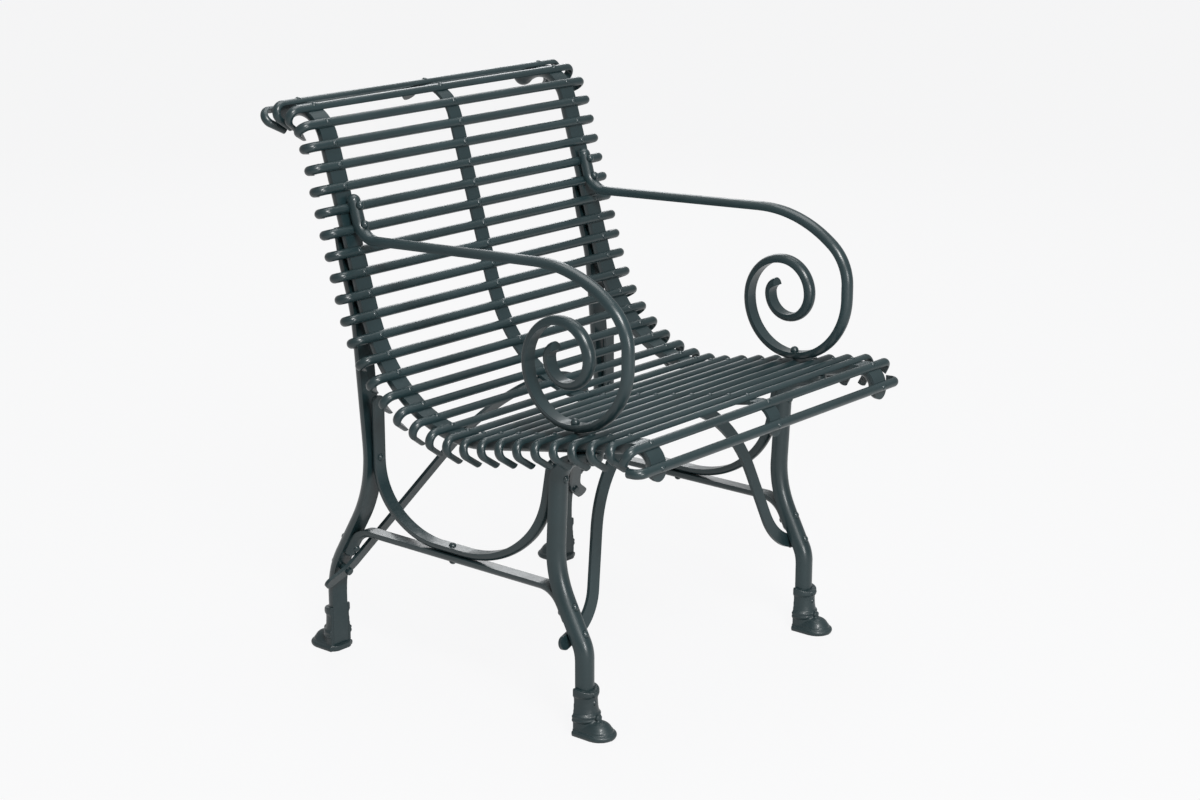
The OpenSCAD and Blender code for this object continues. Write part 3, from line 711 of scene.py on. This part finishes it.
    def pattern(self) -> bpy.types.Object:
        """Model one foot with its flat back at y = 0 and its toe towards -Y.

        Returns:
            The finished casting.
        """
        toe = -(self.middle + self.leg_width / 2 + self.wall)
        parts = [
            self.sole(),
            self.welt(),
            self.collar(),
            self.knob((0.0, toe - 0.0072, 0.0275), (0.0058, 0.0052, 0.0050)),
            self.knob((0.0, toe - 0.0012, 0.0480), (0.0030, 0.0028, 0.0030)),
            self.knob((0.0, toe - 0.0010, 0.0630), (0.0066, 0.0062, 0.0060)),
        ]
        Bench.take(parts[0])
        for part in parts:
            part.select_set(True)
        bpy.ops.object.join()
        foot = bpy.context.object
        Bench.apply(foot, "REMESH", mode="VOXEL", voxel_size=self.voxel, adaptivity=0.0)
        cutter = self.slant()
        Bench.apply(foot, "BOOLEAN", operation="DIFFERENCE", solver="EXACT", object=cutter)
        bpy.data.objects.remove(cutter)
        Bench.apply(foot, "REMESH", mode="VOXEL", voxel_size=self.voxel, adaptivity=0.0)
        Bench.apply(foot, "SMOOTH", factor=0.5, iterations=5)
        cutter = self.socket()
        Bench.apply(foot, "BOOLEAN", operation="DIFFERENCE", solver="EXACT", object=cutter)
        bpy.data.objects.remove(cutter)
        Bench.take(foot)
        bpy.ops.object.shade_smooth_by_angle(angle=math.radians(50))
        return foot

    def place(self) -> None:
        """Copy the casting under each leg and let it stand for its CAD node."""
        pattern = self.pattern()
        coat = self.finish.material()
        for stand in Stand:
            node, facing = stand.value
            low, high = (Vector(corner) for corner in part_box(node))
            back = high.y if facing < 0 else low.y
            mesh = pattern.data.copy()
            turn = Matrix.Identity(4) if facing < 0 else Matrix.Rotation(math.pi, 4, "Z")
            mesh.transform(Matrix.Translation(((low.x + high.x) / 2, back, 0.0)) @ turn)
            foot = bpy.data.objects.new(f"cast_{node}", mesh)
            bpy.context.scene.collection.objects.link(foot)
            mesh.materials.clear()
            mesh.materials.append(coat)
            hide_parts(node)
            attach(foot, "root")
            self.made.append(foot)
            log.info("%s: %d faces", foot.name, len(mesh.polygons))
        bpy.data.objects.remove(pattern)


# The carried-over bars


class Part(Enum):
    """Groups of CAD nodes that share a coat, by how their names start."""

    SLATS = (("slat_0", "slat_1", "slat_2", "slat_3"), SLAT_COAT)
    FRAME = (
        ("side_strap", "centre_strap", "arm_left", "arm_right", "front_leg", "rear_leg",
         "swag", "arch", "front_brace", "rear_brace"),
        FRAME_COAT,
    )
    CASTINGS = (("front_foot", "rear_foot"), CASTING_COAT)
    RIVETS = (("slat_rivets", "arm_bolts", "frame_rivets"), RIVET_COAT)


@dataclass
class Ironwork:
    """The bars, straps, slats and rivets that come from the CAD frame."""

    nodes: Mapping[str, bpy.types.Object]
    dressed: list[str] = field(default_factory=list)

    def dress(self) -> None:
        """Give every carried-over node the coat of its group."""
        for part in Part:
            starts, finish = part.value
            coat = finish.material()
            for name, node in self.nodes.items():
                if name.startswith(starts):
                    if not node.material_slots:
                        node.data.materials.append(coat)
                    for place in node.material_slots:
                        place.material = coat
                    self.dressed.append(name)
            log.info("%s coated", part.name.lower())
        bare = sorted(set(self.nodes) - set(self.dressed))
        if bare:
            log.warning("without a coat: %s", ", ".join(bare))


# The studio


@dataclass
class Lamp:
    """One soft lamp."""

    name: str
    place: Point
    aim: Point
    size: tuple[float, float]
    power: float
    colour: Colour = (1.0, 1.0, 1.0)

    def hang(self) -> bpy.types.Object:
        """Put the lamp in the scene.

        Returns:
            The lamp.
        """
        data = bpy.data.lights.new(self.name, "AREA")
        data.shape = "RECTANGLE"
        data.size, data.size_y = self.size
        data.energy = self.power
        data.color = self.colour
        lamp = bpy.data.objects.new(self.name, data)
        lamp.location = self.place
        lamp.rotation_euler = (Vector(self.aim) - Vector(self.place)).to_track_quat("-Z", "Y").to_euler()
        bpy.context.scene.collection.objects.link(lamp)
        return lamp


@dataclass
class Studio:
    """Floor, sky, lamps and camera."""

    lamps: Sequence[Lamp] = (
        Lamp("key", (-1.9, -2.7, 3.3), (0.0, 0.0, 0.4), (1.3, 1.3), 165.0, (1.0, 0.995, 0.985)),
        Lamp("front", (-0.9, -3.2, 0.9), (0.0, -0.2, 0.25), (0.8, 0.8), 34.0),
        Lamp("top", (0.4, 0.3, 3.6), (0.0, 0.0, 0.4), (2.4, 2.4), 60.0),
        Lamp("rim", (2.6, 2.4, 2.2), (0.0, 0.0, 0.5), (1.2, 2.0), 30.0, (0.97, 0.985, 1.0)),
    )
    floor_size: float = 90.0
    sky: Colour = (0.93, 0.94, 0.95)
    sky_strength: float = 0.30
    backdrop: Colour = (0.93, 0.935, 0.935)
    mirrored_share: float = 0.2
    eye: Point = (-2.562734, -2.185238, 1.333385)
    yaw: float = 49.9624
    pitch: float = 15.7578
    lens: float = 70.4983

    def lay_floor(self) -> None:
        """Lay the floor, which is no part of the chair."""
        Bench.clear()
        bpy.ops.mesh.primitive_grid_add(x_subdivisions=8, y_subdivisions=8, size=self.floor_size)
        floor = bpy.context.object
        floor.name = "studio_floor"
        floor.data.materials.append(PaleFloor().material())

    def light(self) -> None:
        """Set the sky and hang the lamps."""
        world = bpy.data.worlds.new("studio")
        bpy.context.scene.world = world
        world.use_nodes = True
        recipe = Recipe(world.node_tree)
        lit = recipe.add(
            "ShaderNodeBackground", None, {"Color": (*self.sky, 1.0), "Strength": self.sky_strength}
        )
        white = recipe.add("ShaderNodeBackground", None, {"Color": (*self.backdrop, 1.0), "Strength": 1.0})
        camera = recipe.add("ShaderNodeLightPath", output="Is Camera Ray")
        glossy = recipe.add("ShaderNodeLightPath", output="Is Glossy Ray")
        seen = camera.larger(glossy * self.mirrored_share)
        mixed = recipe.add("ShaderNodeMixShader", None, {0: seen, 1: lit, 2: white})
        recipe.add("ShaderNodeOutputWorld", None, {"Surface": mixed})
        for lamp in self.lamps:
            lamp.hang()

    def set_camera(self) -> None:
        """Put the camera where the photo was taken from."""
        data = bpy.data.cameras.new("camera")
        data.sensor_fit = "HORIZONTAL"
        data.sensor_width = 36.0
        data.lens = self.lens
        data.clip_end = 200.0
        camera = bpy.data.objects.new("camera", data)
        camera.location = self.eye
        camera.rotation_euler = (math.radians(90.0 - self.pitch), 0.0, math.radians(-self.yaw))
        bpy.context.scene.collection.objects.link(camera)
        bpy.context.scene.camera = camera


def main() -> None:
    """Dress the chair and set up the studio."""
    logging.basicConfig(level=logging.INFO, format="%(name)s: %(message)s")
    studio = Studio()
    studio.set_camera()
    Ironwork(frame["nodes"]).dress()
    CastFeet().place()
    studio.lay_floor()
    studio.light()
    bpy.context.scene.view_settings.view_transform = "Standard"


if __name__ == "__main__":
    main()
